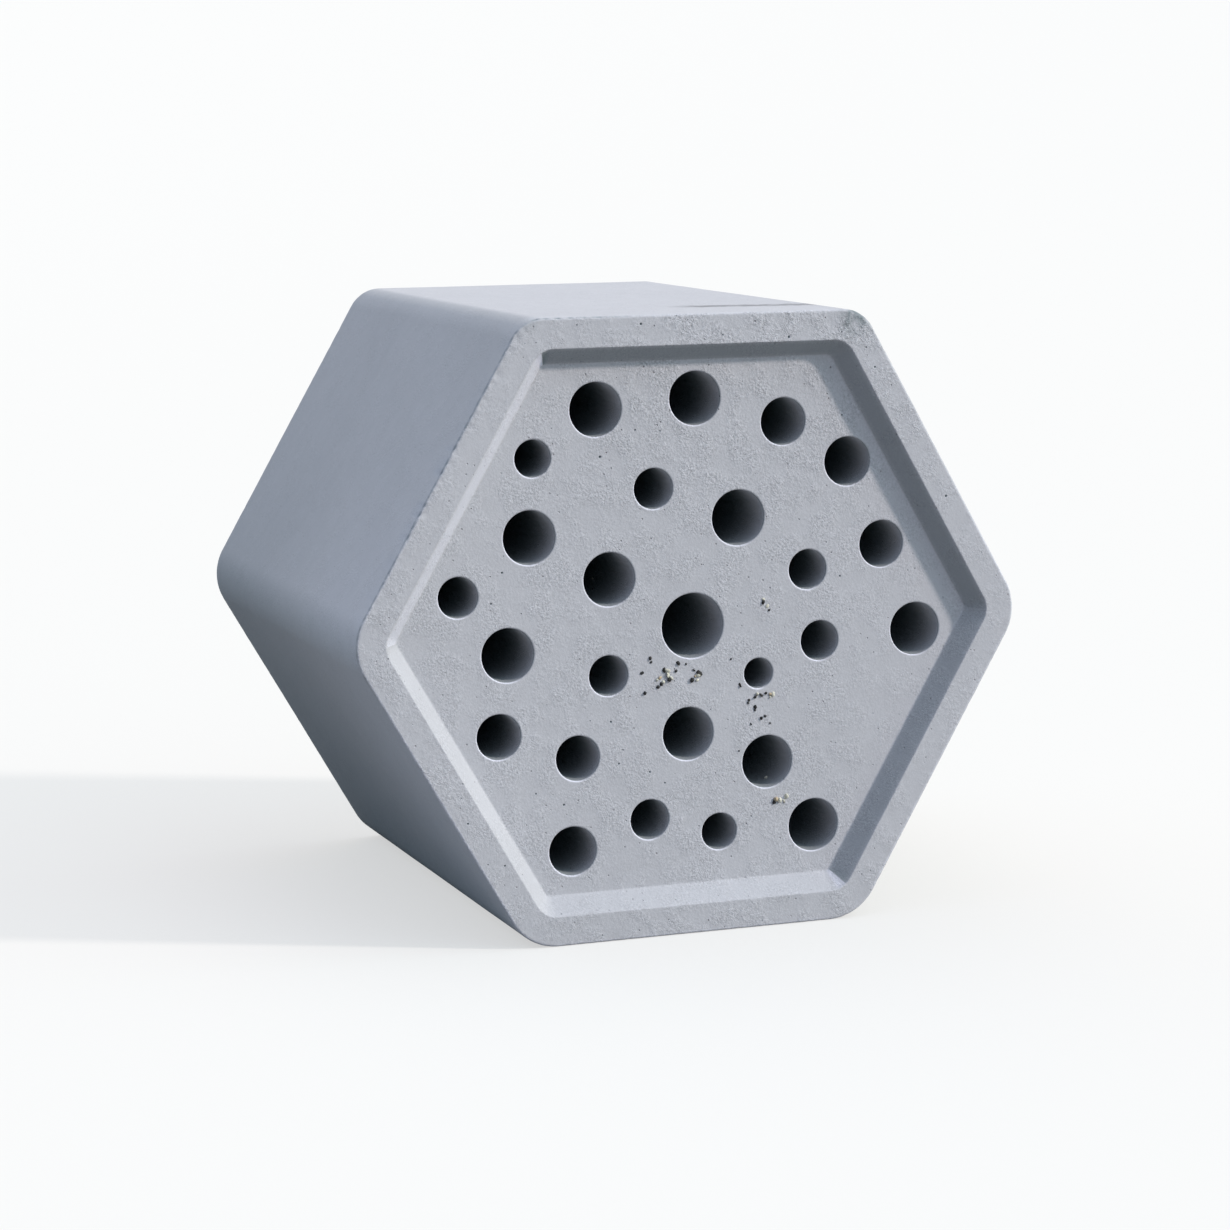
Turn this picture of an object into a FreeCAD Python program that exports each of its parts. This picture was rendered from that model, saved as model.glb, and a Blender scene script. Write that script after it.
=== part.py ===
"""Bee hotel: one cast mortar block, a hexagonal prism lying on its side.

The block stands on one of its six flats, and the prism's axis lies along Y. The front, at -Y, has a
raised rim around a shallow recess, and blind nesting bores of several widths run back from the
recess floor. The origin is the middle of the footprint, on the surface that the block stands on.
"""
import FreeCAD, Part
import math
import os

# The outer form
WIDTH_ACROSS_FLATS = 90.0
DEPTH = 80.0
CORNER_RADIUS = 8.0
OUTER_EDGE_RADIUS = 0.4

# The recess in the front, with walls that lean outwards for the mould's draft
RIM_WIDTH = 4.4
RECESS_DEPTH = 3.0
RECESS_WALL_RUN = 2.4
RECESS_CORNER_RADIUS = 3.6
RECESS_EDGE_RADIUS = 0.25
RECESS_FOOT_RADIUS = 0.3

# The bores: the solid wall left behind their blind ends, and the bevel around each mouth
BACK_WALL = 15.0
MOUTH_CHAMFER = 0.3

# Bore diameters, from the widest to the narrowest
CENTRE_BORE = 9.4
EXTRA_LARGE_BORE = 8.0
LARGE_BORE = 7.7
UPPER_MEDIUM_BORE = 7.1
MEDIUM_BORE = 6.8
LOWER_MEDIUM_BORE = 6.5
SMALL_BORE = 5.8
FINE_BORE = 5.3
FINEST_BORE = 4.4

# The scattered places of the bores: X and Z from the middle of the recess floor, as shares of the
# floor's half width across flats, so that the pattern keeps to the floor it is cast in
NESTS = (
    (CENTRE_BORE, ((0.016, -0.005),)),
    (EXTRA_LARGE_BORE, ((0.202, 0.397),)),
    (LARGE_BORE, (
        (-0.370, 0.828), (0.026, 0.856), (-0.634, 0.363), (-0.319, 0.190), (0.943, -0.072),
        (-0.722, -0.072), (-0.003, -0.419), (0.323, -0.551), (0.517, -0.814))),
    (UPPER_MEDIUM_BORE, ((0.653, 0.592), (-0.471, -0.835))),
    (MEDIUM_BORE, ((0.386, 0.755), (0.798, 0.267))),
    (LOWER_MEDIUM_BORE, ((-0.760, -0.378), (-0.449, -0.481))),
    (SMALL_BORE, (
        (-0.141, 0.523), (0.489, 0.184), (-0.913, 0.155), (0.540, -0.094), (-0.324, -0.175),
        (-0.160, -0.739))),
    (FINE_BORE, ((-0.618, 0.656), (0.124, -0.808))),
    (FINEST_BORE, ((0.286, -0.205),)),
)

# Places that follow from the sizes above
FRONT_Y = -DEPTH / 2
BACK_Y = DEPTH / 2
FLOOR_Y = FRONT_Y + RECESS_DEPTH
AXIS_HEIGHT = WIDTH_ACROSS_FLATS / 2
MOUTH_ACROSS_FLATS = WIDTH_ACROSS_FLATS - 2 * RIM_WIDTH
FLOOR_ACROSS_FLATS = MOUTH_ACROSS_FLATS - 2 * RECESS_WALL_RUN
FLOOR_CORNER_RADIUS = RECESS_CORNER_RADIUS - RECESS_WALL_RUN

BACKWARDS = FreeCAD.Vector(0, 1, 0)
SAME_PLACE = 1e-6


def hexagon_wire(across_flats, corner_radius, y):
    """A hexagon with rounded corners around the block's axis, flat at the top and the bottom."""
    corner_centre = (across_flats / 2 - corner_radius) / math.cos(math.radians(30))

    def point(corner, turn):
        """A point on a corner's arc, turned from the middle of the arc."""
        middle = math.radians(60 * corner)
        angle = middle + math.radians(turn)
        x = corner_centre * math.cos(middle) + corner_radius * math.cos(angle)
        z = corner_centre * math.sin(middle) + corner_radius * math.sin(angle)
        return FreeCAD.Vector(x, y, AXIS_HEIGHT + z)

    edges = []
    for corner in range(6):
        arc = Part.Arc(point(corner, -30), point(corner, 0), point(corner, 30))
        edges.append(arc.toShape())
        edges.append(Part.makeLine(point(corner, 30), point(corner + 1, -30)))
    return Part.Wire(edges)


def face_at(shape, y):
    """The flat face that lies in the plane at y."""
    for face in shape.Faces:
        box = face.BoundBox
        if abs(box.YMin - y) < SAME_PLACE and abs(box.YMax - y) < SAME_PLACE:
            return face
    raise ValueError(f"no flat face at y = {y}")


def outline_edges(shape, y):
    """The edges around the outside of the flat face at y."""
    return face_at(shape, y).OuterWire.Edges


def hole_edges(shape, y):
    """The edges around the holes in the flat face at y."""
    face = face_at(shape, y)
    holes = [wire for wire in face.Wires if not wire.isSame(face.OuterWire)]
    return [edge for wire in holes for edge in wire.Edges]


def outer_block():
    """The solid prism, with its edges still sharp."""
    outline = Part.Face(hexagon_wire(WIDTH_ACROSS_FLATS, CORNER_RADIUS, FRONT_Y))
    return outline.extrude(BACKWARDS * DEPTH)


def recess():
    """The hollow inside the rim, narrower at its floor than at the front."""
    mouth = hexagon_wire(MOUTH_ACROSS_FLATS, RECESS_CORNER_RADIUS, FRONT_Y)
    floor = hexagon_wire(FLOOR_ACROSS_FLATS, FLOOR_CORNER_RADIUS, FLOOR_Y)
    return Part.makeLoft([mouth, floor], True, True)


def nest_bores():
    """The blind bores, each from the recess floor to the back wall."""
    floor_half = FLOOR_ACROSS_FLATS / 2
    length = BACK_Y - BACK_WALL - FLOOR_Y
    bores = []
    for diameter, places in NESTS:
        for across, up in places:
            start = FreeCAD.Vector(across * floor_half, FLOOR_Y, AXIS_HEIGHT + up * floor_half)
            bores.append(Part.makeCylinder(diameter / 2, length, start, BACKWARDS))
    return bores


def nesting_block():
    """The whole casting, with each cast edge softened after the cut that made it."""
    block = outer_block().cut(recess())
    block = block.makeFillet(
        OUTER_EDGE_RADIUS, outline_edges(block, FRONT_Y) + outline_edges(block, BACK_Y))
    block = block.makeFillet(RECESS_EDGE_RADIUS, hole_edges(block, FRONT_Y))
    block = block.makeFillet(RECESS_FOOT_RADIUS, outline_edges(block, FLOOR_Y))
    block = block.cut(nest_bores())
    block = block.makeChamfer(MOUTH_CHAMFER, hole_edges(block, FLOOR_Y))
    return block.Solids[0]


os.makedirs("parts", exist_ok=True)
nesting_block().exportStep("parts/nesting_block.step")
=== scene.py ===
"""The bee hotel dressed for its picture.

One casting of fine grey mortar, some dry crumbs on its face, a pale floor and daylight.
"""

import math
import random

import bmesh
import bpy
from mathutils import Euler, Matrix, Vector, geometry, noise


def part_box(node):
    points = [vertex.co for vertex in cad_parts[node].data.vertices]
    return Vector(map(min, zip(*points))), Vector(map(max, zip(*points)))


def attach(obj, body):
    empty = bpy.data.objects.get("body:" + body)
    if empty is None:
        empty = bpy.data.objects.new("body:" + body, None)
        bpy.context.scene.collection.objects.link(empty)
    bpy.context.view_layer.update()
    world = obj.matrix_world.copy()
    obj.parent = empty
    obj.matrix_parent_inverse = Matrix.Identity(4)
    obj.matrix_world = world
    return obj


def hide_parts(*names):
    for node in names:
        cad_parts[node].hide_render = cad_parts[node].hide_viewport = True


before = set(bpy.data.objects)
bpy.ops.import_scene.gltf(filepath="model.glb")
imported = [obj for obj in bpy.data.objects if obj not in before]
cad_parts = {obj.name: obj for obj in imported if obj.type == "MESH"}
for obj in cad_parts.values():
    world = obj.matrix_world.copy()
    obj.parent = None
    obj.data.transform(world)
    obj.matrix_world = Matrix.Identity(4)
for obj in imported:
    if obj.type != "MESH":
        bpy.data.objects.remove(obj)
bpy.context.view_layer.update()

bl_info = {
    "name": "Bee hotel",
    "version": (1, 0, 0),
    "blender": (4, 5, 0),
    "location": "View3D > Sidebar > Bee hotel",
    "description": "Builds the casting of a hexagonal bee hotel, the crumbs on its face and its stage",
    "category": "Object",
}

MM = 0.001
NODE = "nesting_block"
BODY = "root"
LOW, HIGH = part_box(NODE)
CENTRE_HEIGHT = (LOW.z + HIGH.z) / 2
HALF_FLATS = (HIGH.z - LOW.z) / 2
FRONT_Y = LOW.y
BACK_Y = HIGH.y
COS_30 = math.cos(math.radians(30))


def front_facing_islands(mesh):
    """The flat faces that look straight forward, as lists of points, one list for each depth and place."""
    owner = {}

    def root(key):
        while owner[key] != key:
            owner[key] = owner[owner[key]]
            key = owner[key]
        return key

    for face in mesh.polygons:
        if face.normal.y > -0.9999:
            continue
        keys = [tuple(round(value, 7) for value in mesh.vertices[index].co) for index in face.vertices]
        for key in keys:
            owner.setdefault(key, key)
        for key in keys[1:]:
            owner[root(key)] = root(keys[0])
    islands = {}
    for key in owner:
        islands.setdefault(root(key), []).append(Vector(key))
    return list(islands.values())


def read_bores(islands):
    """Centre (x, z), radius and end depth of each bore, from the round face at its blind end."""
    bores = []
    for points in islands:
        if points[0].y < 0:
            continue
        middle = sum(points, Vector()) / len(points)
        radius = max((point - middle).length for point in points)
        bores.append((middle.x, middle.z, radius, middle.y))
    return sorted(bores)


ISLANDS = front_facing_islands(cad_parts[NODE].data)
BORES = read_bores(ISLANDS)
BORE_ROUNDS = [(x, z, radius) for x, z, radius, _ in BORES]
FLOOR_Y = max(points[0].y for points in ISLANDS if points[0].y < 0)
OUTER_CORNER = (HALF_FLATS / COS_30 - HIGH.x) / (1 / COS_30 - 1)

# The hexagon's corners are numbered anticlockwise from the right.
UPPER_CORNERS = (1, 2)


class Camera:
    """The photograph's camera: where it stands, where it looks and how large its frame is."""

    frame_px = 1230
    lens = 97.6 * MM
    sensor = 36 * MM
    aim = Vector((-12.5, -40.0, 47.6)) * MM
    distance = 473.3 * MM
    azimuth = math.radians(20.6)
    elevation = math.radians(8.88)
    roll = math.radians(0.31)

    @classmethod
    def turn(cls):
        """Rotation from the camera's own axes to the frame's."""
        level = Matrix.Rotation(-cls.azimuth, 3, "Z") @ Matrix.Rotation(math.pi / 2 - cls.elevation, 3, "X")
        return level @ Matrix.Rotation(-cls.roll, 3, "Z")

    @classmethod
    def place(cls):
        """Where the camera stands."""
        return cls.aim + cls.turn() @ Vector((0, 0, cls.distance))

    @classmethod
    def ray(cls, column, row):
        """The direction in which a pixel of the photograph looks."""
        half = cls.frame_px / 2
        focal_px = cls.lens / cls.sensor * cls.frame_px
        return cls.turn() @ Vector((column - half, half - row, -focal_px)).normalized()

    @classmethod
    def point_at(cls, column, row, depth_y):
        """The point of the plane y = depth_y that a pixel of the photograph shows."""
        start = cls.place()
        ray = cls.ray(column, row)
        return start + ray * ((depth_y - start.y) / ray.y)


# The middle of the dark stain on the rim, from its pixel in the photograph.
STAIN_PIXEL = (856, 318)
STAIN = Camera.point_at(*STAIN_PIXEL, FRONT_Y)


class Value:
    """A socket of a node tree that takes part in Python sums, each sum adding a Math node."""

    def __init__(self, tree, socket):
        self.tree = tree
        self.socket = socket

    def _math(self, operation, first, second=None):
        node = self.tree.nodes.new("ShaderNodeMath")
        node.operation = operation
        for slot, value in enumerate((first, second)):
            if isinstance(value, Value):
                self.tree.links.new(value.socket, node.inputs[slot])
            elif value is not None:
                node.inputs[slot].default_value = value
        return Value(self.tree, node.outputs[0])

    def __add__(self, other):
        return self._math("ADD", self, other)

    __radd__ = __add__

    def __mul__(self, other):
        return self._math("MULTIPLY", self, other)

    __rmul__ = __mul__

    def __sub__(self, other):
        return self._math("SUBTRACT", self, other)

    def __rsub__(self, other):
        return self._math("SUBTRACT", other, self)

    def __pow__(self, other):
        return self._math("POWER", self, other)

    def __abs__(self):
        return self._math("ABSOLUTE", self)

    def above(self, level):
        """1 where the value is over the level, otherwise 0."""
        return self._math("GREATER_THAN", self, level)

    def at_least(self, level):
        """The value, or the level where the value is under it."""
        return self._math("MAXIMUM", self, level)


class Finish:
    """A material or world whose nodes come from one method."""

    def __init__(self, owner):
        owner.use_nodes = True
        self.tree = owner.node_tree
        self.tree.nodes.clear()

    def node(self, kind, settings=None, output=0, **sockets):
        """A node of that type, its settings made first, then its sockets given values or links.

        A socket goes by its name with _ for each space, or by its number as in input0. The output that
        comes back goes by its number or its name.
        """
        made = self.tree.nodes.new(kind)
        for name, value in (settings or {}).items():
            if name == "stops":
                self._stops(made.color_ramp, value)
            else:
                setattr(made, name, value)
        for name, value in sockets.items():
            key = int(name[5:]) if name.startswith("input") else name.replace("_", " ")
            socket = made.inputs[key]
            if isinstance(value, Value):
                self.tree.links.new(value.socket, socket)
            else:
                socket.default_value = value
        return Value(self.tree, made.outputs[output]) if made.outputs else None

    @staticmethod
    def _stops(ramp, stops):
        while len(ramp.elements) < len(stops):
            ramp.elements.new(1.0)
        for element, (position, color) in zip(ramp.elements, stops):
            element.position = position
            element.color = (*color, 1.0)

    def smooth_step(self, value, low, high):
        """0 below low, 1 above high, and a soft rise between them."""
        return self.node(
            "ShaderNodeMapRange", {"interpolation_type": "SMOOTHSTEP"},
            Value=value, From_Min=low, From_Max=high, To_Min=0.0, To_Max=1.0,
        )

    def noise(self, place, size, detail=2.0, roughness=0.5):
        """Noise whose features are about that size in metres."""
        return self.node(
            "ShaderNodeTexNoise", Vector=place, Scale=1 / size, Detail=detail, Roughness=roughness,
        )

    def tinted(self, color, value):
        """A colour made lighter or darker by a value."""
        plain = color if isinstance(color, Value) else color[:3]
        return self.node("ShaderNodeVectorMath", {"operation": "SCALE"}, input0=plain, Scale=value)


# Values with a colour of their own, besides 0, which is the plain mortar. Positive values are dirt and
# painted shade, negative ones painted highlights.
PALEST = -0.5
SOILED_OR_SHADED = 0.6
BLACK = 1.0


def soil_and_shade_share(soil):
    """Where a value of dirt, painted shade and painted highlight lies between the palest and black, as a
    share.
    """
    return (soil - PALEST) * (1 / (BLACK - PALEST))


def mortar_finish(settings):
    """Fine cast mortar with clouds, sand grain and fine pores, darker with dirt and painted shade and paler
    with painted highlights, as the mesh's value says.
    """
    material = bpy.data.materials.new("cast_mortar")
    look = Finish(material)
    place = look.node("ShaderNodeTexCoord", output="Object")
    # The mesh's value of dirt, painted shade and painted highlights.
    soil = look.node("ShaderNodeAttribute", {"attribute_name": "soil"}, output="Fac")
    grit = look.node("ShaderNodeAttribute", {"attribute_name": "grit"}, output="Fac")
    cloud = look.noise(place, 20 * MM, detail=3)
    mottle = look.noise(place, 3.0 * MM, detail=2)
    sand = look.noise(place, settings.grain_size, detail=2, roughness=0.75)
    patches = look.smooth_step(look.noise(place, 4 * MM, detail=3), 0.38, 0.64)
    coarse = grit * (0.45 + 1.1 * patches)
    cells = {"Vector": place, "Scale": 1 / settings.pore_spacing}
    pore_reach = look.node("ShaderNodeTexVoronoi", **cells)
    pore_cell = look.node("ShaderNodeTexVoronoi", output="Position", **cells)
    pore_draw = look.node("ShaderNodeTexWhiteNoise", Vector=pore_cell)
    pore = (1 - look.smooth_step(pore_reach, 0.06, 0.15)) * pore_draw.above(0.72) * grit

    levels = (
        (PALEST, settings.painted_highlight_color),
        (0, settings.color),
        (SOILED_OR_SHADED, settings.soiled_or_shaded_color),
        (BLACK, (0, 0, 0)),
    )
    stops = [(soil_and_shade_share(level), color[:3]) for level, color in levels]
    tone = look.node("ShaderNodeValToRGB", {"stops": stops}, Fac=soil_and_shade_share(soil))
    shade = 1 + (cloud - 0.5) * 0.08 + (mottle - 0.5) * 0.08 + (sand - 0.5) * coarse * settings.grain_contrast
    # The fine pores are darkened with painted shade, besides their dip in the bump.
    shade = shade * (1 - 0.45 * pore) * (1 - settings.streak * top_streak(look, place))
    height = sand * coarse + mottle * 0.2 - pore
    normal = look.node(
        "ShaderNodeBump", Strength=1.0, Distance=settings.grain_relief, Height=height, Filter_Width=0.1,
    )
    shader = look.node(
        "ShaderNodeBsdfPrincipled", Base_Color=look.tinted(tone, shade),
        Roughness=0.86 + (sand - 0.5) * 0.2, Specular_IOR_Level=0.25, Normal=normal,
    )
    look.node("ShaderNodeOutputMaterial", Surface=shader)
    return material


# The line of the streak across the top: its depth at x = 0, and how that changes with x.
STREAK_Y = -23.9 * MM
STREAK_SLOPE = -0.185


def top_streak(look, place):
    """Up to 1 along the ragged dark streak that crosses the top flat near the front, otherwise 0."""
    x, y, z = [look.node("ShaderNodeSeparateXYZ", Vector=place, output=axis) for axis in "XYZ"]
    ragged = (look.noise(place, 1.8 * MM, detail=3) - 0.5) * (4.5 * MM)
    off = abs(y - STREAK_Y - STREAK_SLOPE * x) + ragged
    line = 1 - look.smooth_step(off, 0.5 * MM, 2.9 * MM)
    ends = look.smooth_step(x, 0.5 * MM, 7 * MM) * (1 - look.smooth_step(x + ragged, 22 * MM, 28 * MM))
    patchy = 0.8 + 0.2 * look.smooth_step(look.noise(place, 5 * MM), 0.38, 0.6)
    return line * ends * patchy * z.above(HIGH.z - MM)


def crumb_finish(name, color, spread):
    """Dry crumbs of one kind, each a little lighter or darker than the next."""
    material = bpy.data.materials.new(name)
    look = Finish(material)
    place = look.node("ShaderNodeTexCoord", output="Object")
    broad = look.noise(place, 0.6 * MM, detail=1)
    fine = look.noise(place, 0.12 * MM)
    shade = 1 + (broad - 0.5) * spread + (fine - 0.5) * 0.5
    shader = look.node("ShaderNodeBsdfPrincipled", Base_Color=look.tinted(color, shade), Roughness=0.8)
    look.node("ShaderNodeOutputMaterial", Surface=shader)
    return material


class Skin:
    """Gathers the points and faces of one closed surface, with a weight of wear at each point."""

    # How much the copy that finds a sheet's triangles is bulged, and how near two of its points count as one.
    bulge = 3e-5
    same_point = 1e-3

    def __init__(self):
        self.points = []
        self.faces = []
        self.wear = []

    def ring(self, points, y, wear=0.0):
        """Adds a closed row of (x, z) points at one depth and returns their numbers."""
        first = len(self.points)
        self.points += [Vector((x, y, z)) for x, z in points]
        self.wear += [wear] * len(points)
        return list(range(first, len(self.points)))

    def join(self, inner, outer):
        """Faces between two rows that run anticlockwise seen from the front."""
        count = len(inner)
        for here in range(count):
            after = (here + 1) % count
            self.faces.append((inner[here], outer[here], outer[after], inner[after]))

    def sheet(self, outline, holes, fill, y, faces_back=False):
        """Flat faces inside the outline and outside the holes, through the fill points.

        The triangles are found on a slightly bulged copy in millimetres, where no straight border has three
        points in line.
        """
        numbers = list(outline)
        rows = [range(len(outline))]
        hole_of = {}
        for number, hole in enumerate(holes):
            rows.append(range(len(numbers), len(numbers) + len(hole)))
            hole_of.update((index, number) for index in rows[-1])
            numbers += hole
        numbers += self.ring(fill, y)
        middle = Vector((0, 0, CENTRE_HEIGHT))
        flat = [(self.points[index] - middle).xz / MM for index in numbers]
        bulged = [spot * (1 - self.bulge * spot.length_squared) for spot in flat]
        edges = [(row[i - 1], row[i]) for row in rows for i in range(len(row))]
        _, _, triangles, sources, _, _ = geometry.delaunay_2d_cdt(bulged, edges, [], 0, self.same_point)
        for triangle in triangles:
            ends = [sources[index][0] for index in triangle]
            places = {hole_of.get(index, -1 - index) for index in ends}
            if len(places) == 1:
                continue
            corners = tuple(numbers[index] for index in ends)
            self.faces.append(corners[::-1] if faces_back else corners)


def rounded_hexagon(half_flats, cores, across_corner=17, along_flat=120):
    """Points (x, z) of a hexagon, flat on top. Each corner is an arc about a corner of a smaller hexagon.

    cores holds half the width across flats of that smaller hexagon, for each corner.
    """
    arcs = []
    for corner, core in enumerate(cores):
        radius = half_flats - core
        middle = math.radians(60 * corner)
        heart = Vector((math.cos(middle), math.sin(middle))) * (core / COS_30)
        turns = [
            middle + math.radians(60) * (step / across_corner - 0.5) for step in range(across_corner + 1)
        ]
        arcs.append([heart + Vector((math.cos(turn), math.sin(turn))) * radius for turn in turns])
    points = []
    for arc, after in zip(arcs, arcs[1:] + arcs[:1]):
        points += arc
        points += [arc[-1].lerp(after[0], step / along_flat) for step in range(1, along_flat)]
    return [(point.x, point.y + CENTRE_HEIGHT) for point in points]


def inside_by(x, z, half_flats, core):
    """How far a point lies inside a rounded hexagon, negative outside."""
    z -= CENTRE_HEIGHT
    reach = math.hypot(x, z)
    turn = (math.atan2(z, x) + math.radians(30)) % math.radians(60) - math.radians(30)
    along = reach * math.cos(turn)
    aside = abs(reach * math.sin(turn))
    past = along - core / COS_30
    if aside < past * math.tan(math.radians(30)):
        return half_flats - core - math.hypot(past, aside)
    return half_flats - (along * COS_30 + aside / 2)


def rounded_section(corners, steps):
    """Points (half width, y) of a section whose corners (half width, y, radius) become arcs."""
    points = [Vector(corners[0][:2])]
    for before, corner, after in zip(corners, corners[1:], corners[2:]):
        heel = Vector(corner[:2])
        back = (Vector(before[:2]) - heel).normalized()
        on = (Vector(after[:2]) - heel).normalized()
        half_turn = back.angle(on) / 2
        middle = heel + (back + on).normalized() * (corner[2] / math.sin(half_turn))
        start = heel + back * (corner[2] / math.tan(half_turn)) - middle
        sweep = math.copysign(math.pi - 2 * half_turn, on.cross(back))
        for step in range(steps + 1):
            turned = start.copy()
            turned.rotate(Matrix.Rotation(sweep * step / steps, 2))
            points.append(middle + turned)
    points.append(Vector(corners[-1][:2]))
    return points


def lattice(spacing, inside, rng, jitter=0.12):
    """Points of a triangular lattice where inside(x, z) is true, each a little off its place."""
    points = []
    rows = int(2 * HALF_FLATS / (spacing * COS_30)) + 1
    columns = int(2 * HIGH.x / spacing) + 2
    for row in range(rows):
        z = LOW.z + row * spacing * COS_30
        for column in range(columns):
            x = LOW.x + (column + 0.5 * (row % 2)) * spacing
            spot = (x + rng.uniform(-jitter, jitter) * spacing, z + rng.uniform(-jitter, jitter) * spacing)
            if inside(*spot):
                points.append(spot)
    return points


def crater_points(pit):
    """The points that a pit needs in its sheet: its heart and three rows round it."""
    x, z, radius = pit
    points = [(x, z)]
    for share, count in ((0.6, 6), (1.0, 9), (1.35, 10)):
        for step in range(count):
            turn = 2 * math.pi * (step + share) / count
            points.append((x + share * radius * math.cos(turn), z + share * radius * math.sin(turn)))
    return points


def clear_of(x, z, rounds, gap):
    """True where a point is at least gap outside every (x, z, radius)."""
    return all(math.hypot(x - cx, z - cz) > radius + gap for cx, cz, radius in rounds)


# How much painted shade darkens each recess wall, anticlockwise from the upper right one; the paler ones are
# negative, painted highlights.
WALL_TONES = (0.30, 0.31, -0.26, 0.0, 0.03, 0.22)

# The corners where a bright recess wall meets a shaded one, painted with shade and highlight so that they
# part
# crisply: degrees anticlockwise from the right, the way from there to the shaded wall, where on the arc the
# two meet, and how much darker and paler they are painted there.
CREASES = ((120, -1, 0, 0.25, 0.4), (300, 1, 12, 0.2, 0.6))

# How many pixels of the photograph a millimetre of the front takes up.
PIXELS_PER_MM = 7.05

# The dark pores that stand out on the front, as pixels of the photograph, with their width in pixels.
RIM_PORES = (
    (641, 324, 3.0), (789, 337, 3.2), (577, 325, 2.0), (875, 367, 2.6), (946, 496, 3.0),
    (842, 332, 2.0), (468, 824, 2.6), (505, 866, 2.4), (723, 335, 2.0),
)
FACE_PORES = (
    (600, 457, 3.4), (635, 430, 2.4), (660, 431, 2.0), (502, 573, 2.8), (491, 604, 2.4),
    (611, 722, 2.6), (623, 750, 2.0), (619, 764, 2.6), (650, 772, 2.6), (564, 805, 2.8),
    (536, 794, 2.2), (840, 576, 2.4), (665, 783, 2.2), (842, 415, 2.4),
)

# The crumbs below the bores, as pixels of the photograph, with their width in pixels.
DARK_CRUMBS = (
    (650, 658, 3.4), (678, 663, 3.4), (676, 671, 3.2), (642, 673, 3.0), (645, 693, 3.6),
    (651, 662, 2.0), (664, 670, 3.2), (669, 679, 4.4), (658, 687, 4.0), (661, 684, 3.4),
    (699, 673, 4.6), (692, 680, 4.2), (694, 670, 2.6), (686, 664, 1.8), (740, 685, 3.0),
    (731, 659, 2.0), (755, 697, 4.0), (761, 695, 3.4), (766, 693, 3.0), (749, 700, 3.0),
    (748, 703, 2.6), (755, 707, 3.0), (755, 710, 2.4), (765, 716, 3.0), (761, 718, 3.2),
    (770, 723, 2.0), (751, 724, 2.2), (739, 751, 2.2), (763, 602, 3.6), (769, 610, 2.8),
    (774, 802, 3.6), (593, 589, 2.0),
)
PALE_CRUMBS = (
    (667, 671, 5.0), (663, 682, 4.4), (671, 678, 4.6), (668, 675, 4.0), (698, 675, 4.4),
    (697, 680, 3.0), (757, 694, 3.4), (773, 694, 4.2), (770, 697, 2.6), (763, 599, 3.2),
    (767, 606, 2.6), (779, 800, 4.6), (786, 796, 3.6), (784, 801, 2.4), (593, 579, 2.2),
    (766, 778, 3.4), (657, 680, 2.6),
)
TAN_CRUMBS = (
    (776, 799, 5.0), (770, 694, 2.8), (660, 678, 3.0), (695, 676, 2.6),
)


def pores(pixels, depth_y, count, fits, rng):
    """The pores seen in the photograph and a scatter of smaller ones, as (x, z, radius)."""
    made = []
    for column, row, width in pixels:
        point = Camera.point_at(column, row, depth_y)
        radius = width / 2 / PIXELS_PER_MM * MM
        if not fits(point.x, point.z, radius):
            raise ValueError(f"the pore at pixel {column}, {row} isn't on its face")
        made.append((point.x, point.z, radius))
    while len(made) < count + len(pixels):
        spot = (rng.uniform(LOW.x, HIGH.x), rng.uniform(LOW.z, HIGH.z), rng.uniform(0.05, 0.11) * MM)
        if fits(spot[0], spot[1], 2 * spot[2]) and clear_of(spot[0], spot[1], made, 0.6 * MM):
            made.append(spot)
    return made


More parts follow.
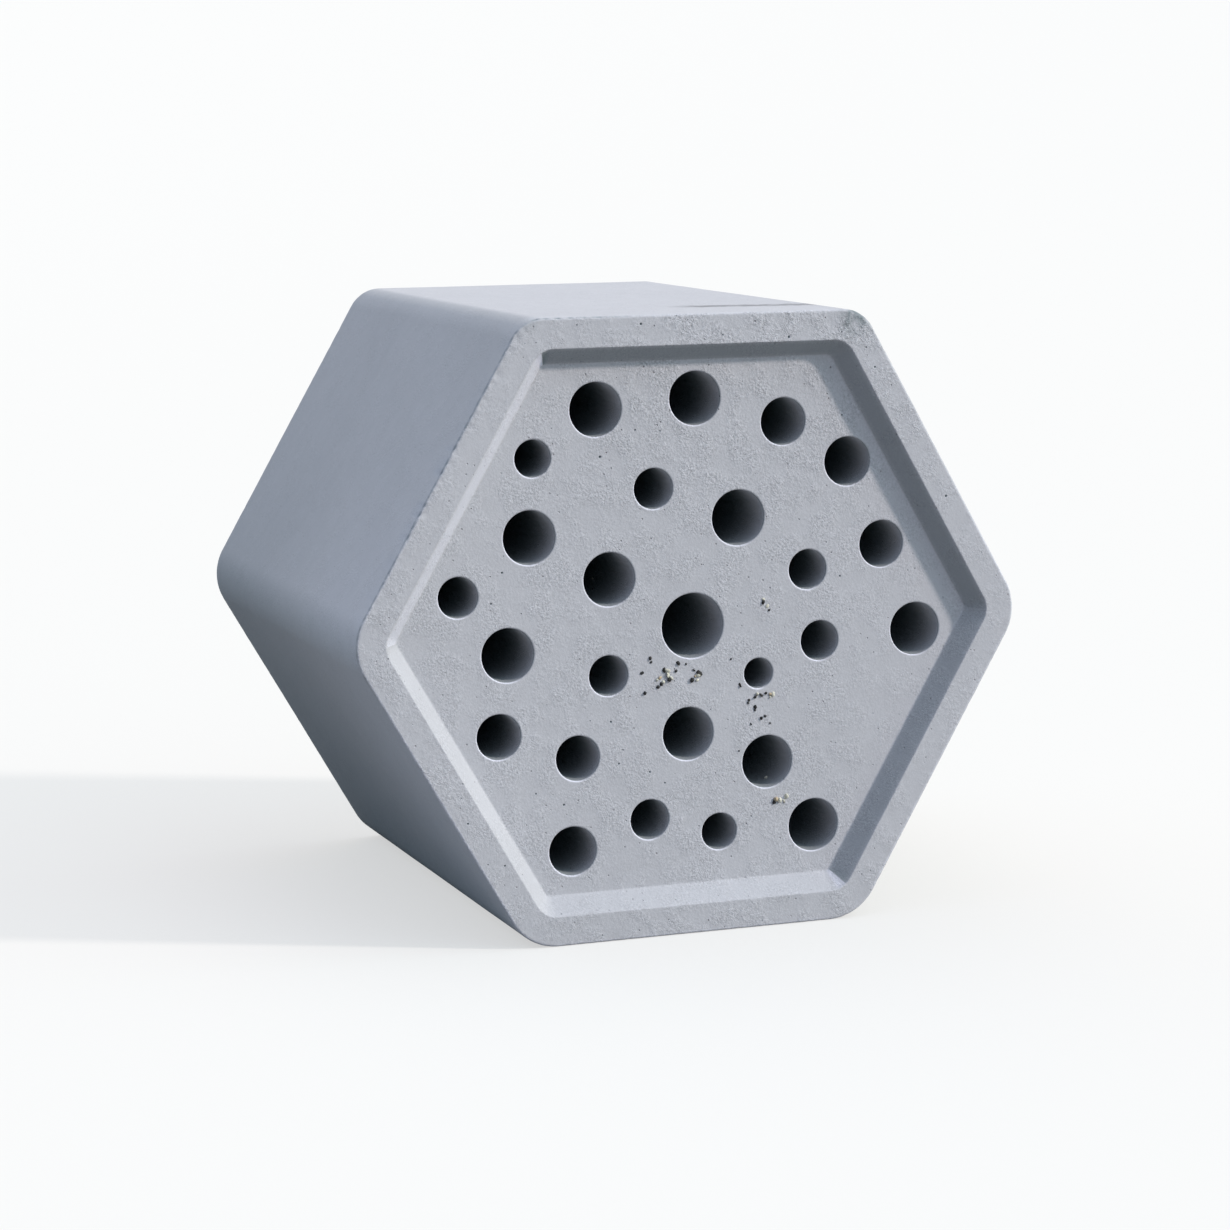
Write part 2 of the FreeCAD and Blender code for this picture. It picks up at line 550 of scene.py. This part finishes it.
def build_skin(settings):
    """The whole casting as one closed skin, and its pores by depth."""
    rng = random.Random(settings.seed)
    skin = Skin()
    outer_core = HALF_FLATS - OUTER_CORNER
    mouth_half = HALF_FLATS - settings.rim_width
    floor_half = mouth_half - settings.wall_run
    recess_core = mouth_half - settings.recess_corner
    recess_section = rounded_section((
        (floor_half - settings.foot_radius, FLOOR_Y),
        (floor_half, FLOOR_Y, settings.foot_radius),
        (mouth_half, FRONT_Y, settings.lip_radius),
        (mouth_half + settings.lip_radius, FRONT_Y),
    ), settings.edge_steps)
    outer_section = rounded_section((
        (HALF_FLATS - 1.3 * settings.edge_radius, FRONT_Y),
        (HALF_FLATS, FRONT_Y, settings.edge_radius),
        (HALF_FLATS, BACK_Y, settings.edge_radius),
        (HALF_FLATS - 1.3 * settings.edge_radius, BACK_Y),
    ), settings.edge_steps)
    recess_section = divide_long(recess_section, 0.7 * MM)
    outer_section = divide_long(outer_section, 4.0 * MM)

    upper_core = HALF_FLATS - settings.upper_corner
    outer_cores = [upper_core if corner in UPPER_CORNERS else outer_core for corner in range(6)]
    recess_rows = sweep(skin, recess_section, [recess_core] * 6)
    outer_rows = sweep(skin, outer_section, outer_cores, settings.edge_radius)
    mouths = [bore_skin(skin, bore, settings) for bore in BORES]

    spacing = settings.mesh_size
    bore_rounds = [(x, z, radius + settings.mouth_edge) for x, z, radius, _ in BORES]
    floor_edge = recess_section[0].x
    rim_inner = recess_section[-1].x
    rim_outer = outer_section[0].x

    def on_floor(x, z, gap=0.5 * spacing):
        return inside_by(x, z, floor_edge, recess_core) > gap and clear_of(x, z, bore_rounds, gap)

    def on_rim(x, z, gap=0.5 * spacing):
        return inside_by(x, z, rim_outer, outer_core) > gap and inside_by(x, z, rim_inner, recess_core) < -gap

    floor_pores = pores(FACE_PORES, FLOOR_Y, settings.pore_count, on_floor, rng)
    rim_pores = pores(RIM_PORES, FRONT_Y, settings.pore_count // 2, on_rim, rng)
    for y, fits, found, outline, holes in (
        (FLOOR_Y, on_floor, floor_pores, recess_rows[0], mouths),
        (FRONT_Y, on_rim, rim_pores, outer_rows[0], [recess_rows[-1]]),
    ):
        fill = lattice(spacing, lambda x, z: fits(x, z) and clear_of(x, z, found, 0.25 * spacing), rng)
        for pit in found:
            fill += crater_points(pit)
        skin.sheet(outline, holes, fill, y)
    back = lattice(2 * spacing, lambda x, z: inside_by(x, z, rim_outer, outer_core) > spacing, rng)
    skin.sheet(outer_rows[-1], [], back, BACK_Y, faces_back=True)
    return skin, ((FLOOR_Y, floor_pores), (FRONT_Y, rim_pores))


def divide_long(points, longest, brink=0.1 * MM):
    """The same section with its long stretches divided, and a short piece left beside each bend."""
    made = [points[0]]
    for before, after in zip(points, points[1:]):
        length = (after - before).length
        if length > 4 * brink:
            start = before.lerp(after, brink / length)
            end = after.lerp(before, brink / length)
            parts = math.ceil((end - start).length / longest)
            made += [start.lerp(end, step / parts) for step in range(parts + 1)]
        made.append(after)
    return made


def sweep(skin, section, cores, worn=0.0):
    """Rows round the hexagon through each point of a section. Edges wear where y is within worn of an end."""
    rows = []
    for half_flats, y in section:
        wear = 1.0 if min(y - FRONT_Y, BACK_Y - y) < 1.01 * worn else 0.0
        rows.append(skin.ring(rounded_hexagon(half_flats, cores), y, wear))
    for inner, outer in zip(rows, rows[1:]):
        skin.join(inner, outer)
    return rows


def bore_skin(skin, bore, settings):
    """One blind bore from its flat end to the soft edge round its mouth. Returns the row on the floor."""
    x, z, radius, end_y = bore
    edge = settings.mouth_edge
    depth = end_y - FLOOR_Y
    rows_deep = 12
    section = []
    for step in range(rows_deep):
        share = 1 - (1 - step / rows_deep) ** 2
        section.append(Vector((radius, end_y - depth * share * 0.98)))
    section += rounded_section((
        (radius, FLOOR_Y + 4 * edge),
        (radius, FLOOR_Y, edge),
        (radius + 1.25 * edge, FLOOR_Y),
    ), 6)
    rows = []
    turns = [2 * math.pi * step / settings.bore_sides for step in range(settings.bore_sides)]
    for reach, y in section:
        circle = [(x + reach * math.cos(turn), z + reach * math.sin(turn)) for turn in turns]
        rows.append(skin.ring(circle, y))
    skin.faces.append(tuple(rows[0]))
    for inner, outer in zip(rows, rows[1:]):
        skin.join(inner, outer)
    return rows[-1]


def ramp(value, low, high):
    """0 below low, 1 above high, and a soft rise between them."""
    share = min(1.0, max(0.0, (value - low) / (high - low)))
    return share * share * (3 - 2 * share)


def turn_at_corner(x, z, core, corner):
    """How far round a corner's arc a point lies, in degrees from the middle of the arc."""
    reach = core / COS_30
    off_x = x - reach * math.cos(math.radians(corner))
    off_z = z - CENTRE_HEIGHT - reach * math.sin(math.radians(corner))
    return (math.degrees(math.atan2(off_z, off_x)) - corner + 180) % 360 - 180


def wall_tone(point, core):
    """How much painted shade darkens this side of the recess wall, negative for a painted highlight, with
    more contrast at two of its corners.
    """
    tone = WALL_TONES[int(math.degrees(math.atan2(point.z - CENTRE_HEIGHT, point.x)) // 60) % 6]
    for corner, shaded_way, brink, darker, paler in CREASES:
        turned = shaded_way * (turn_at_corner(point.x, point.z, core, corner) - brink)
        if abs(turned) < 30:
            tone += (darker if turned > 0 else -paler) * (1 - abs(turned) / 30)
    return tone


def bore_shade_at(point, bore, settings):
    """Painted shade in a bore at a point: darker with depth, and near the mouth darker low down and paler on
    the right.
    The mouth's edge has painted shade on its right and a painted highlight round its lower left.
    """
    x, z, radius = bore
    aside = (point.x - x) / radius
    below = (z - point.z) / radius
    into = point.y - FLOOR_Y
    if into < 0.25 * MM:
        inner = ramp(into, 0, 0.2 * MM)
        lip = ramp(into, 0, 0.03 * MM) * (1 - ramp(into, 0.1 * MM, 0.25 * MM))
        return 0.4 * inner * ramp(aside, 0.3, 0.8) - settings.lip_highlight * lip * ramp(below - aside, 0.3, 1.2)
    deep = ramp(point.y, FLOOR_Y, FLOOR_Y + 3.1 * radius)
    return settings.bore_shade * (0.3 + 0.7 * deep) + (0.2 * below - 0.25 * aside) * (1 - deep)


def soil_and_shade_at(point, wear, pits, settings):
    """How much darker the surface is at a point, negative where it is paler: painted shade and highlights in
    the bores, on the recess walls, on the sides and along the upper edges, painted shade in the pits, a stain
    on the rim and darker patches in the chips of the upper left edge.
    """
    # Painted shade and highlights in and round the bores.
    if FLOOR_Y - 0.01 * MM < point.y < BACK_Y - MM:
        for bore in BORE_ROUNDS:
            if not clear_of(point.x, point.z, [bore], 0.4 * MM):
                return bore_shade_at(point, bore, settings)
    soil = 0.0
    mouth_half = HALF_FLATS - settings.rim_width
    recess_core = mouth_half - settings.recess_corner
    mouth_gap = inside_by(point.x, point.z, mouth_half, recess_core)
    # Painted shade and highlights on the recess walls.
    if mouth_gap > -0.1 * MM and point.y > FRONT_Y + 0.02 * MM:
        past_lip = ramp(point.y, FRONT_Y, FRONT_Y + 0.3 * MM)
        before_foot = 1 - ramp(point.y, FLOOR_Y - 0.3 * MM, FLOOR_Y)
        soil += settings.wall_shading * past_lip * before_foot * wall_tone(point, recess_core)
    if mouth_gap < -settings.rim_width + settings.edge_radius:
        # Painted shade towards the back of the sides and a painted highlight towards their front, both
        # strongest low down.
        lower = 1 - ramp(point.z, 0.2 * HIGH.z, 0.98 * HIGH.z)
        soil += settings.side_shade * lower * (ramp(point.y, 1.3 * FRONT_Y, BACK_Y) - 0.45)
        # Painted shade along the two upper long edges.
        turned = turn_at_corner(-abs(point.x), point.z, HALF_FLATS - settings.upper_corner, 120)
        if abs(turned) < 40 and point.z > CENTRE_HEIGHT:
            soil += settings.shoulder_shade * ramp(turned, -28, -13) * (1 - ramp(turned, -20, 40))
    # Painted shade in the pits, darker in the wider ones.
    for x, z, radius in pits:
        reach = math.hypot(point.x - x, point.z - z) / radius
        soil = max(soil, min(0.9, radius / (0.2 * MM)) * (1 - ramp(reach, 0.3, 1.1)))
    if point.y < FRONT_Y + 1.1 * settings.edge_radius:
        patchy = 0.7 + 1.2 * noise.noise(point / (0.5 * MM))
        reach = (point - STAIN).length
        soil += settings.stain * (1 - ramp(reach, 0.8 * MM, 3.6 * MM)) * max(0.0, patchy)
    # Darker patches in the chips of the upper left edge.
    if wear and FRONT_Y + 0.1 * MM < point.y < 0:
        left = ramp(-point.x, 5 * MM, 15 * MM) * ramp(point.z, 30 * MM, 50 * MM)
        soil += settings.chip_darkening * left * max(0.0, 0.8 + 1.5 * noise.noise(point / (0.7 * MM)))
    return min(soil, 0.95)


def grit_at(point):
    """How coarse the sand shows: most at the top of the front and in the stain, least on the sides."""
    side = inside_by(point.x, point.z, HALF_FLATS, HALF_FLATS - OUTER_CORNER) < 0.1 * MM
    if side or point.y > FLOOR_Y + 0.5 * MM:
        return 0.35
    rim = 1 - ramp(point.y, FRONT_Y, FRONT_Y + 0.5 * MM)
    floor = ramp(point.y, FLOOR_Y - 0.5 * MM, FLOOR_Y)
    right = ramp(point.x, 18 * MM, 34 * MM)
    upper = ramp(point.z, 55 * MM, 80 * MM) * ramp(point.x, -25 * MM, 5 * MM)
    upper_left = ramp(-point.x, 0, 18 * MM) * ramp(point.z, 45 * MM, 60 * MM)
    stained = 1 - ramp((point - STAIN).length, 1 * MM, 4.5 * MM)
    front = (0.22 - 0.22 * right + 0.35 * upper) * (rim + floor)
    return 0.5 + front - 0.2 * rim * upper_left + 0.5 * stained


def sink_at(point, wear, pits, settings):
    """How far the cast surface lies inside its true form at a point: soft waves, worn edges and pores."""
    sink = settings.unevenness * (0.5 + 0.5 * noise.noise(point / (14 * MM)))
    sink += 0.3 * settings.unevenness * (0.5 + 0.5 * noise.noise(point / (2.2 * MM)))
    upper_left = ramp(-point.x, 0, 30 * MM) * ramp(point.z, 30 * MM, 60 * MM)
    small_chips = max(0.0, noise.noise(point / (0.7 * MM)) - 0.1)
    large_chips = 0.3 * max(0.0, noise.noise(point / (1.6 * MM)))
    worn = 0.3 + 0.7 * upper_left if point.y < 0 else 0.2
    sink += wear * settings.chipping * (small_chips + large_chips) * worn
    for x, z, radius in pits:
        reach = math.hypot(point.x - x, point.z - z) / radius
        if reach < 0.95:
            sink += 0.9 * radius * (1 - reach * reach)
    return sink


def cast_block(settings):
    """The casting, with uneven faces, worn edges and open pores."""
    skin, pores_at = build_skin(settings)
    mesh = bpy.data.meshes.new("cast_block")
    mesh.from_pydata(skin.points, [], skin.faces)
    mesh.update()
    soil = mesh.attributes.new("soil", "FLOAT", "POINT")
    grit = mesh.attributes.new("grit", "FLOAT", "POINT")
    normals = [normal.vector.copy() for normal in mesh.vertex_normals]
    for vertex, normal, wear in zip(mesh.vertices, normals, skin.wear):
        point = vertex.co.copy()
        pits = [
            pit for y, found in pores_at if abs(point.y - y) < 0.01 * MM
            for pit in found if not clear_of(point.x, point.z, [pit], pit[2])
        ]
        soil.data[vertex.index].value = soil_and_shade_at(point, wear, pits, settings)
        grit.data[vertex.index].value = grit_at(point)
        vertex.co = point - normal * sink_at(point, wear, pits, settings)
    for polygon in mesh.polygons:
        polygon.use_smooth = True
    mesh.materials.append(mortar_finish(settings))
    block = bpy.data.objects.new("cast_block", mesh)
    bpy.context.collection.objects.link(block)
    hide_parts(NODE)
    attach(block, BODY)


def crumb_shape(radius, rng):
    """Points and faces of one rough crumb about the origin."""
    shape = bmesh.new()
    bmesh.ops.create_icosphere(shape, subdivisions=2, radius=1.0)
    offset = Vector((rng.random(), rng.random(), rng.random())) * 100
    stretch = Vector((rng.uniform(0.7, 1.6), rng.uniform(0.5, 1.0), rng.uniform(0.6, 1.2)))
    turn = Euler([rng.uniform(0, 2 * math.pi) for _ in range(3)])
    points = []
    for vertex in shape.verts:
        rough = 1 + 0.45 * noise.noise(vertex.co * 1.3 + offset) + 0.2 * noise.noise(vertex.co * 3 + offset)
        point = vertex.co * (rough * radius)
        point = Vector(a * b for a, b in zip(point, stretch))
        point.rotate(turn)
        points.append(point)
    faces = [[vertex.index for vertex in face.verts] for face in shape.faces]
    shape.free()
    return points, faces


def dry_crumbs(settings):
    """The dry crumbs on the face, each seated where its pixel of the photograph meets the casting."""
    block = bpy.data.objects["cast_block"]
    rng = random.Random(settings.seed)
    start = Camera.place()
    points, faces, kinds = [], [], []
    for kind, crumbs in enumerate((DARK_CRUMBS, PALE_CRUMBS, TAN_CRUMBS)):
        for column, row, width in crumbs:
            hit, place, normal, _ = block.ray_cast(start, Camera.ray(column, row))
            if not hit:
                raise ValueError(f"the crumb at pixel {column}, {row} misses the casting")
            radius = width / 2 / PIXELS_PER_MM * MM * settings.size
            shape, sides = crumb_shape(radius, rng)
            first = len(points)
            points += [place + normal * (0.15 * radius) + point for point in shape]
            faces += [[first + index for index in side] for side in sides]
            kinds += [kind] * len(sides)
    mesh = bpy.data.meshes.new("dry_crumbs")
    mesh.from_pydata(points, [], faces)
    for name, color, spread in (
        ("dark_crumb", settings.dark, 1.2),
        ("pale_crumb", settings.pale, 0.8),
        ("tan_crumb", settings.tan, 0.6),
    ):
        mesh.materials.append(crumb_finish(name, color, spread))
    mesh.polygons.foreach_set("material_index", kinds)
    mesh.polygons.foreach_set("use_smooth", [True] * len(kinds))
    crumbs = bpy.data.objects.new("dry_crumbs", mesh)
    bpy.context.collection.objects.link(crumbs)
    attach(crumbs, BODY)


def towards(azimuth, elevation):
    """The direction that many radians to the right of the front and above the horizon."""
    level = math.cos(elevation)
    return Vector((level * math.sin(azimuth), -level * math.cos(azimuth), math.sin(elevation)))


# The wide soft lights: degrees to the right of the front, degrees above the horizon, and colour.
SOFT_LIGHTS = (
    (0, 90, (0.93, 0.71, 0.99)),
    (0, 12, (0.69, 0.73, 0.94)),
    (60, 12, (0.53, 0.75, 0.60)),
    (60, 48, (0.78, 1.20, 1.30)),
    (180, 48, (1.13, 0.86, 0.51)),
    (240, 48, (0.41, 0.83, 1.11)),
)


def stage_world(settings):
    """Soft daylight from a few sides, each side a wide bright patch that fades out round its middle."""
    world = bpy.data.worlds.new("daylight")
    bpy.context.scene.world = world
    sky = Finish(world)
    direction = sky.node("ShaderNodeTexCoord", output="Generated")
    light = None
    for azimuth, elevation, color in SOFT_LIGHTS:
        middle = towards(math.radians(azimuth), math.radians(elevation))
        facing = sky.node(
            "ShaderNodeVectorMath", {"operation": "DOT_PRODUCT"}, output="Value",
            input0=direction, input1=middle,
        )
        patch = sky.tinted(color, facing.at_least(0) ** 4)
        light = patch if light is None else sky.node("ShaderNodeVectorMath", input0=light, input1=patch)
    background = sky.node("ShaderNodeBackground", Color=light, Strength=settings.sky_strength)
    sky.node("ShaderNodeOutputWorld", Surface=background)


def stage_key(settings):
    """The one hard light, far off to the front right."""
    lamp = bpy.data.lights.new("key_light", "SUN")
    lamp.energy = settings.key_strength
    lamp.angle = settings.key_width
    lamp.color = settings.key_color[:3]
    light = bpy.data.objects.new("key_light", lamp)
    bpy.context.collection.objects.link(light)
    back = towards(settings.key_azimuth, settings.key_elevation)
    light.rotation_euler = back.to_track_quat("Z", "Y").to_euler()


def dish(name, depth, settings, color, glow=0.0):
    """A round ground, flat round the block and rising gently far off, so that no horizon shows behind it."""
    turns = 96
    growth = 1.35
    reaches = [settings.floor_flat * share for share in (0.25, 0.6, 1.0)]
    reaches += [settings.floor_flat * growth ** step for step in range(1, 16)]
    points = [(0, 0, -depth)]
    for reach in reaches:
        rise = settings.floor_rise * max(0.0, reach - settings.floor_flat) ** 2 / reach
        for turn in range(turns):
            angle = 2 * math.pi * turn / turns
            points.append((reach * math.cos(angle), reach * math.sin(angle), rise - depth))
    faces = [(0, 1 + turn, 1 + (turn + 1) % turns) for turn in range(turns)]
    for row in range(len(reaches) - 1):
        for turn in range(turns):
            here = 1 + row * turns + turn
            after = 1 + row * turns + (turn + 1) % turns
            faces.append((here, here + turns, after + turns, after))
    mesh = bpy.data.meshes.new(name)
    mesh.from_pydata(points, [], faces)
    for polygon in mesh.polygons:
        polygon.use_smooth = True
    material = bpy.data.materials.new(name)
    look = Finish(material)
    shader = look.node(
        "ShaderNodeBsdfPrincipled", Base_Color=color, Roughness=0.9, Specular_IOR_Level=0.1,
        Emission_Color=(1.0, 1.0, 1.0, 1.0), Emission_Strength=glow,
    )
    look.node("ShaderNodeOutputMaterial", Surface=shader)
    mesh.materials.append(material)
    ground = bpy.data.objects.new(name, mesh)
    bpy.context.collection.objects.link(ground)
    return ground


def stage_floor(settings):
    """The pale floor that the camera sees, and under it a darker ground that lights the block from below."""
    floor = dish("pale_floor", 0.0, settings, settings.floor_color, settings.floor_glow)
    floor.visible_diffuse = False
    floor.visible_glossy = False
    floor.visible_shadow = False
    ground = dish("bounce_ground", 0.1 * MM, settings, settings.bounce_color)
    ground.visible_camera = False


def stage_camera():
    """The camera at the photograph's place."""
    data = bpy.data.cameras.new("photo_camera")
    data.sensor_width = Camera.sensor / MM
    data.lens = Camera.lens / MM
    data.clip_start = 0.01
    data.clip_end = 1000
    camera = bpy.data.objects.new("photo_camera", data)
    bpy.context.collection.objects.link(camera)
    camera.matrix_world = Matrix.Translation(Camera.place()) @ Camera.turn().to_4x4()
    bpy.context.scene.camera = camera


class BlockSettings(bpy.types.PropertyGroup):
    """Sizes and looks of the casting."""

    color: bpy.props.FloatVectorProperty(
        name="Mortar colour", description="Colour of the dry mortar", subtype="COLOR", size=4, min=0, max=1,
        default=(0.422, 0.429, 0.456, 1.0))
    # The colour that painted highlights go towards.
    painted_highlight_color: bpy.props.FloatVectorProperty(
        name="Pale colour", description="Colour of the palest mortar, as round a bore's mouth",
        subtype="COLOR", size=4, min=0, max=1, default=(0.640, 0.652, 0.735, 1.0))
    # The colour that dirt and painted shade go towards.
    soiled_or_shaded_color: bpy.props.FloatVectorProperty(
        name="Soiled colour", description="Colour of the mortar where it is dirty or damp",
        subtype="COLOR", size=4, min=0, max=1, default=(0.140, 0.172, 0.184, 1.0))
    rim_width: bpy.props.FloatProperty(
        name="Rim width", description="Width of the flat rim round the recess", unit="LENGTH",
        default=4.4 * MM)
    wall_run: bpy.props.FloatProperty(
        name="Wall run", description="How far the sloping recess wall reaches inwards", unit="LENGTH",
        default=2.4 * MM)
    recess_corner: bpy.props.FloatProperty(
        name="Recess corner", description="Corner radius of the recess at the rim", unit="LENGTH",
        default=3.6 * MM)
    edge_radius: bpy.props.FloatProperty(
        name="Edge radius", description="Rounding of the outer edges", unit="LENGTH", default=0.4 * MM)
    lip_radius: bpy.props.FloatProperty(
        name="Lip radius", description="Rounding where the rim turns into the recess", unit="LENGTH",
        default=0.25 * MM)
    foot_radius: bpy.props.FloatProperty(
        name="Foot radius", description="Rounding where the recess wall meets its floor", unit="LENGTH",
        default=0.3 * MM)
    mouth_edge: bpy.props.FloatProperty(
        name="Mouth edge", description="Width of the soft edge round each bore's mouth", unit="LENGTH",
        default=0.3 * MM)
    edge_steps: bpy.props.IntProperty(
        name="Edge steps", description="Faces across each rounded edge", default=4, min=2, max=8)
    bore_sides: bpy.props.IntProperty(
        name="Bore sides", description="Faces round each bore", default=48, min=12, max=96)
    mesh_size: bpy.props.FloatProperty(
        name="Mesh size", description="Distance between the points of the front faces", unit="LENGTH",
        default=0.75 * MM)
    pore_count: bpy.props.IntProperty(
        name="Small pores", description="Small pores scattered over the floor, and half as many on the rim",
        default=30, min=0)
    pore_spacing: bpy.props.FloatProperty(
        name="Pore spacing", description="Distance between the finest pores of the surface", unit="LENGTH",
        default=1.1 * MM)
    # How much painted shade darkens the bores inside.
    bore_shade: bpy.props.FloatProperty(
        name="Bore soil", description="How much darker the bores are inside", default=0.56, min=0, max=1)
    # A painted highlight on the lower left edge of each bore's mouth.
    lip_highlight: bpy.props.FloatProperty(
        name="Pale lip", description="How much paler the lower left edge of each bore's mouth is",
        default=0.4, min=0, max=0.5)
    # Scales the painted shade and highlights on the recess walls.
    wall_shading: bpy.props.FloatProperty(
        name="Wall soil", description="How much the tones of the recess walls differ",
        default=1.0, min=0, max=1)
    # Painted shade towards the back of the lower sides, with a painted highlight towards their front.
    side_shade: bpy.props.FloatProperty(
        name="Side fade", description="How much darker the lower sides are towards the back", default=0.40,
        min=0, max=1)
    stain: bpy.props.FloatProperty(
        name="Stain", description="Strength of the stain on the rim's upper right corner", default=0.42,
        min=0, max=1)
    streak: bpy.props.FloatProperty(
        name="Streak", description="Strength of the dark streak across the top", default=0.5, min=0, max=1)
    chipping: bpy.props.FloatProperty(
        name="Chipping", description="Depth of the chips along the outer edges", unit="LENGTH",
        default=0.28 * MM)
    upper_corner: bpy.props.FloatProperty(
        name="Upper corner", description="Radius of the two upper corners, a little sharper than the others",
        default=5.5 * MM, min=2 * MM, max=8 * MM, unit="LENGTH")
    # Painted shade along the two upper long edges.
    shoulder_shade: bpy.props.FloatProperty(
        name="Shoulder shade", description="How much darker the two upper long edges are",
        default=0.12, min=0, max=1)
    # Darkens patches in the chips of the upper left edge.
    chip_darkening: bpy.props.FloatProperty(
        name="Edge dirt", description="Strength of the dirt in the chips of the upper left edge",
        default=0.25, min=0, max=1)
    unevenness: bpy.props.FloatProperty(
        name="Unevenness", description="Height of the soft waves of the cast faces", unit="LENGTH",
        default=0.06 * MM)
    grain_size: bpy.props.FloatProperty(
        name="Grain size", description="Width of the sand grains in the surface", unit="LENGTH",
        default=0.34 * MM)
    grain_contrast: bpy.props.FloatProperty(
        name="Grain contrast", description="How much the grains differ in shade", default=0.85, min=0, max=1)
    grain_relief: bpy.props.FloatProperty(
        name="Grain relief", description="How far the grains stand out", unit="LENGTH", default=0.13 * MM)
    seed: bpy.props.IntProperty(name="Seed", description="Start of the random draws", default=7)


class StageSettings(bpy.types.PropertyGroup):
    """The floor, the light and where it comes from."""

    floor_color: bpy.props.FloatVectorProperty(
        name="Floor colour", description="Colour of the pale floor", subtype="COLOR", size=4, min=0, max=1,
        default=(0.25, 0.25, 0.24, 1.0))
    floor_glow: bpy.props.FloatProperty(
        name="Floor glow", description="Light of the floor's own, which keeps the shadow on it pale",
        default=0.58, min=0, max=1)
    bounce_color: bpy.props.FloatVectorProperty(
        name="Bounce colour", description="Colour of the light that the ground sends back", subtype="COLOR",
        size=4, min=0, max=1, default=(0.25, 0.25, 0.25, 1.0))
    floor_flat: bpy.props.FloatProperty(
        name="Flat reach", description="How far the floor is flat round the block", unit="LENGTH",
        default=1.2)
    floor_rise: bpy.props.FloatProperty(
        name="Rise", description="Slope that the floor takes far off", default=0.09, min=0, max=0.3)
    key_strength: bpy.props.FloatProperty(
        name="Key strength", description="Strength of the key light", default=2.9, min=0)
    key_width: bpy.props.FloatProperty(
        name="Key width", description="Angle that the key light fills", subtype="ANGLE",
        default=math.radians(4.5))
    key_azimuth: bpy.props.FloatProperty(
        name="Key azimuth", description="How far the key light stands to the right of the front",
        subtype="ANGLE", default=math.radians(55.4))
    key_elevation: bpy.props.FloatProperty(
        name="Key elevation", description="Height of the key light above the horizon", subtype="ANGLE",
        default=math.radians(30.6))
    key_color: bpy.props.FloatVectorProperty(
        name="Key colour", description="Colour of the key light", subtype="COLOR", size=4, min=0, max=1,
        default=(1.0, 0.888, 0.826, 1.0))
    sky_strength: bpy.props.FloatProperty(
        name="Sky strength", description="Strength of the light from all round", default=1.0, min=0)


class CrumbSettings(bpy.types.PropertyGroup):
    """Size and colours of the dry crumbs."""

    size: bpy.props.FloatProperty(
        name="Size", description="Width of the crumbs against the photograph", default=1.15, min=0.2, max=3)
    dark: bpy.props.FloatVectorProperty(
        name="Dark crumbs", description="Colour of the dark crumbs", subtype="COLOR", size=4, min=0, max=1,
        default=(0.015, 0.015, 0.014, 1.0))
    pale: bpy.props.FloatVectorProperty(
        name="Pale crumbs", description="Colour of the pale crumbs", subtype="COLOR", size=4, min=0, max=1,
        default=(0.56, 0.55, 0.46, 1.0))
    tan: bpy.props.FloatVectorProperty(
        name="Tan crumbs", description="Colour of the tan crumbs", subtype="COLOR", size=4, min=0, max=1,
        default=(0.42, 0.34, 0.23, 1.0))
    seed: bpy.props.IntProperty(name="Seed", description="Start of the random draws", default=3)


class BEEHOTEL_OT_block(bpy.types.Operator):
    """Build the finished casting in place of the plain block"""

    bl_idname = "bee_hotel.block"
    bl_label = "Casting"

    def execute(self, context):
        cast_block(context.scene.bee_hotel_block)
        return {"FINISHED"}


class BEEHOTEL_OT_crumbs(bpy.types.Operator):
    """Add the dry crumbs that stick to the face"""

    bl_idname = "bee_hotel.crumbs"
    bl_label = "Crumbs"

    def execute(self, context):
        dry_crumbs(context.scene.bee_hotel_crumbs)
        return {"FINISHED"}


class BEEHOTEL_OT_stage(bpy.types.Operator):
    """Set up the floor, the daylight and the camera"""

    bl_idname = "bee_hotel.stage"
    bl_label = "Stage"

    def execute(self, context):
        settings = context.scene.bee_hotel_stage
        stage_world(settings)
        stage_key(settings)
        stage_floor(settings)
        stage_camera()
        context.scene.view_settings.view_transform = "Standard"
        return {"FINISHED"}


class BEEHOTEL_PT_panel(bpy.types.Panel):
    """Lists the steps and their settings"""

    bl_idname = "BEEHOTEL_PT_panel"
    bl_label = "Bee hotel"
    bl_space_type = "VIEW_3D"
    bl_region_type = "UI"
    bl_category = "Bee hotel"

    def draw(self, context):
        for step in STEPS:
            self.layout.operator(step)
        for name in SETTINGS:
            group = getattr(context.scene, name)
            box = self.layout.box()
            for prop in group.bl_rna.properties:
                if prop.identifier not in ("rna_type", "name"):
                    box.prop(group, prop.identifier)


SETTINGS = {
    "bee_hotel_block": BlockSettings,
    "bee_hotel_crumbs": CrumbSettings,
    "bee_hotel_stage": StageSettings,
}
OPERATORS = (BEEHOTEL_OT_block, BEEHOTEL_OT_crumbs, BEEHOTEL_OT_stage)
STEPS = [operator.bl_idname for operator in OPERATORS]
CLASSES = (*SETTINGS.values(), *OPERATORS, BEEHOTEL_PT_panel)


def register():
    """Adds the settings, the steps and the panel to Blender."""
    for cls in CLASSES:
        bpy.utils.register_class(cls)
    for name, group in SETTINGS.items():
        setattr(bpy.types.Scene, name, bpy.props.PointerProperty(type=group))


def unregister():
    """Takes them out again."""
    for name in SETTINGS:
        delattr(bpy.types.Scene, name)
    for cls in reversed(CLASSES):
        bpy.utils.unregister_class(cls)


def main():
    """Builds everything."""
    register()
    for step in STEPS:
        group, name = step.split(".")
        getattr(getattr(bpy.ops, group), name)()


if __name__ == "__main__":
    main()
